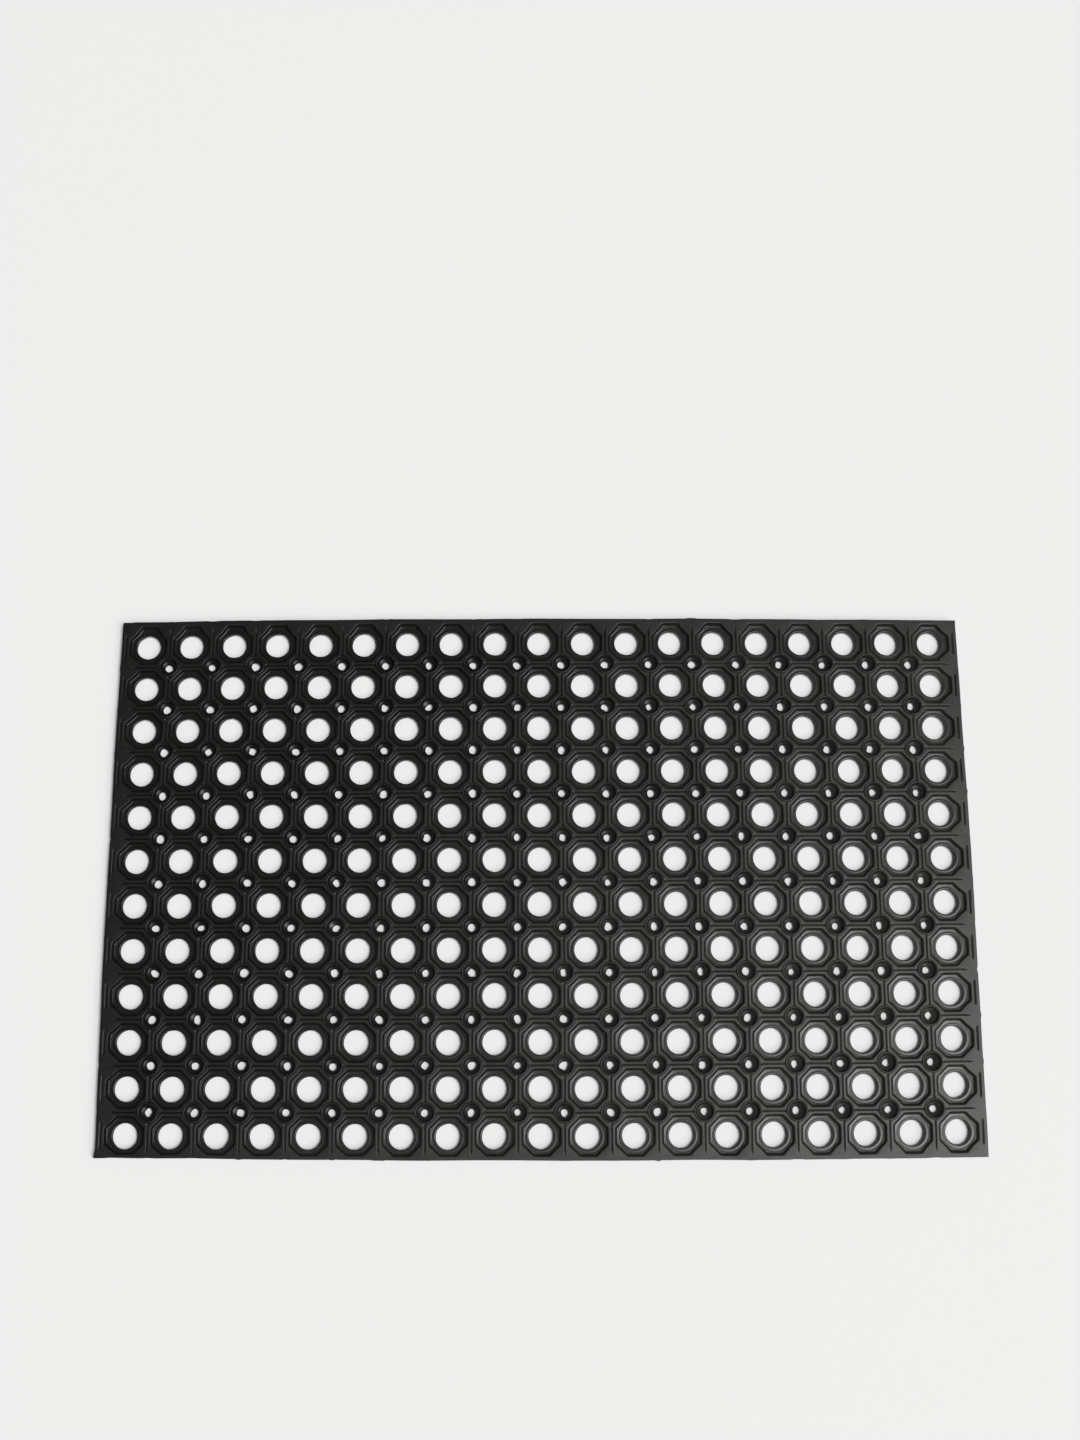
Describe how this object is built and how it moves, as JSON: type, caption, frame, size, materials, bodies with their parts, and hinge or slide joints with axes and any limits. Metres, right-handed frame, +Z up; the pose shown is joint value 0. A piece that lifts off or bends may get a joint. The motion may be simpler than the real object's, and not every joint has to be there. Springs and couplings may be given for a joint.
{
  "type": "rubber ring door mat",
  "caption": "Flat rectangular rubber ring mat: a grid of eight-sided recesses with round drain holes, small drain cups between them, and seams that it rolls up along.",
  "frame": {"origin": "centre of the mat's underside, on the surface that it lies on", "axes": "+X along the length, +Y along the width, +Z up out of the walked-on face"},
  "size_m": [0.8, 0.5, 0.01],
  "materials": {
    "rubber": "satin black, faintly dusty"
  },
  "bodies": {
    "cell_column_01": {"cell_column_01": "rubber"},
    "cell_column_02": {"cell_column_02": "rubber"},
    "cell_column_03": {"cell_column_03": "rubber"},
    "cell_column_04": {"cell_column_04": "rubber"},
    "cell_column_05": {"cell_column_05": "rubber"},
    "cell_column_06": {"cell_column_06": "rubber"},
    "cell_column_07": {"cell_column_07": "rubber"},
    "cell_column_08": {"cell_column_08": "rubber"},
    "cell_column_09": {"cell_column_09": "rubber"},
    "cell_column_10": {"cell_column_10": "rubber"},
    "cell_column_11": {"cell_column_11": "rubber"},
    "cell_column_12": {"cell_column_12": "rubber"},
    "cell_column_13": {"cell_column_13": "rubber"},
    "cell_column_14": {"cell_column_14": "rubber"},
    "cell_column_15": {"cell_column_15": "rubber"},
    "cell_column_16": {"cell_column_16": "rubber"},
    "cell_column_17": {"cell_column_17": "rubber"},
    "cell_column_18": {"cell_column_18": "rubber"},
    "cell_column_19": {"cell_column_19": "rubber"}
  },
  "joints": [
    {"name": "bend_01_02", "type": "hinge", "parent": "cell_column_02", "child": "cell_column_01", "pos_m": [-0.35417, 0, 0.005], "axis": [0, 1, 0], "range_deg": [-18, 18], "stiffness_Nm_per_rad": 1.5},
    {"name": "bend_02_03", "type": "hinge", "parent": "cell_column_03", "child": "cell_column_02", "pos_m": [-0.3125, 0, 0.005], "axis": [0, 1, 0], "range_deg": [-18, 18], "stiffness_Nm_per_rad": 1.5},
    {"name": "bend_03_04", "type": "hinge", "parent": "cell_column_04", "child": "cell_column_03", "pos_m": [-0.27083, 0, 0.005], "axis": [0, 1, 0], "range_deg": [-18, 18], "stiffness_Nm_per_rad": 1.5},
    {"name": "bend_04_05", "type": "hinge", "parent": "cell_column_05", "child": "cell_column_04", "pos_m": [-0.22917, 0, 0.005], "axis": [0, 1, 0], "range_deg": [-18, 18], "stiffness_Nm_per_rad": 1.5},
    {"name": "bend_05_06", "type": "hinge", "parent": "cell_column_06", "child": "cell_column_05", "pos_m": [-0.1875, 0, 0.005], "axis": [0, 1, 0], "range_deg": [-18, 18], "stiffness_Nm_per_rad": 1.5},
    {"name": "bend_06_07", "type": "hinge", "parent": "cell_column_07", "child": "cell_column_06", "pos_m": [-0.14583, 0, 0.005], "axis": [0, 1, 0], "range_deg": [-18, 18], "stiffness_Nm_per_rad": 1.5},
    {"name": "bend_07_08", "type": "hinge", "parent": "cell_column_08", "child": "cell_column_07", "pos_m": [-0.10417, 0, 0.005], "axis": [0, 1, 0], "range_deg": [-18, 18], "stiffness_Nm_per_rad": 1.5},
    {"name": "bend_08_09", "type": "hinge", "parent": "cell_column_09", "child": "cell_column_08", "pos_m": [-0.0625, 0, 0.005], "axis": [0, 1, 0], "range_deg": [-18, 18], "stiffness_Nm_per_rad": 1.5},
    {"name": "bend_09_10", "type": "hinge", "parent": "cell_column_10", "child": "cell_column_09", "pos_m": [-0.02083, 0, 0.005], "axis": [0, 1, 0], "range_deg": [-18, 18], "stiffness_Nm_per_rad": 1.5},
    {"name": "bend_10_11", "type": "hinge", "parent": "cell_column_10", "child": "cell_column_11", "pos_m": [0.02083, 0, 0.005], "axis": [0, -1, 0], "range_deg": [-18, 18], "stiffness_Nm_per_rad": 1.5},
    {"name": "bend_11_12", "type": "hinge", "parent": "cell_column_11", "child": "cell_column_12", "pos_m": [0.0625, 0, 0.005], "axis": [0, -1, 0], "range_deg": [-18, 18], "stiffness_Nm_per_rad": 1.5},
    {"name": "bend_12_13", "type": "hinge", "parent": "cell_column_12", "child": "cell_column_13", "pos_m": [0.10417, 0, 0.005], "axis": [0, -1, 0], "range_deg": [-18, 18], "stiffness_Nm_per_rad": 1.5},
    {"name": "bend_13_14", "type": "hinge", "parent": "cell_column_13", "child": "cell_column_14", "pos_m": [0.14583, 0, 0.005], "axis": [0, -1, 0], "range_deg": [-18, 18], "stiffness_Nm_per_rad": 1.5},
    {"name": "bend_14_15", "type": "hinge", "parent": "cell_column_14", "child": "cell_column_15", "pos_m": [0.1875, 0, 0.005], "axis": [0, -1, 0], "range_deg": [-18, 18], "stiffness_Nm_per_rad": 1.5},
    {"name": "bend_15_16", "type": "hinge", "parent": "cell_column_15", "child": "cell_column_16", "pos_m": [0.22917, 0, 0.005], "axis": [0, -1, 0], "range_deg": [-18, 18], "stiffness_Nm_per_rad": 1.5},
    {"name": "bend_16_17", "type": "hinge", "parent": "cell_column_16", "child": "cell_column_17", "pos_m": [0.27083, 0, 0.005], "axis": [0, -1, 0], "range_deg": [-18, 18], "stiffness_Nm_per_rad": 1.5},
    {"name": "bend_17_18", "type": "hinge", "parent": "cell_column_17", "child": "cell_column_18", "pos_m": [0.3125, 0, 0.005], "axis": [0, -1, 0], "range_deg": [-18, 18], "stiffness_Nm_per_rad": 1.5},
    {"name": "bend_18_19", "type": "hinge", "parent": "cell_column_18", "child": "cell_column_19", "pos_m": [0.35417, 0, 0.005], "axis": [0, -1, 0], "range_deg": [-18, 18], "stiffness_Nm_per_rad": 1.5}
  ]
}
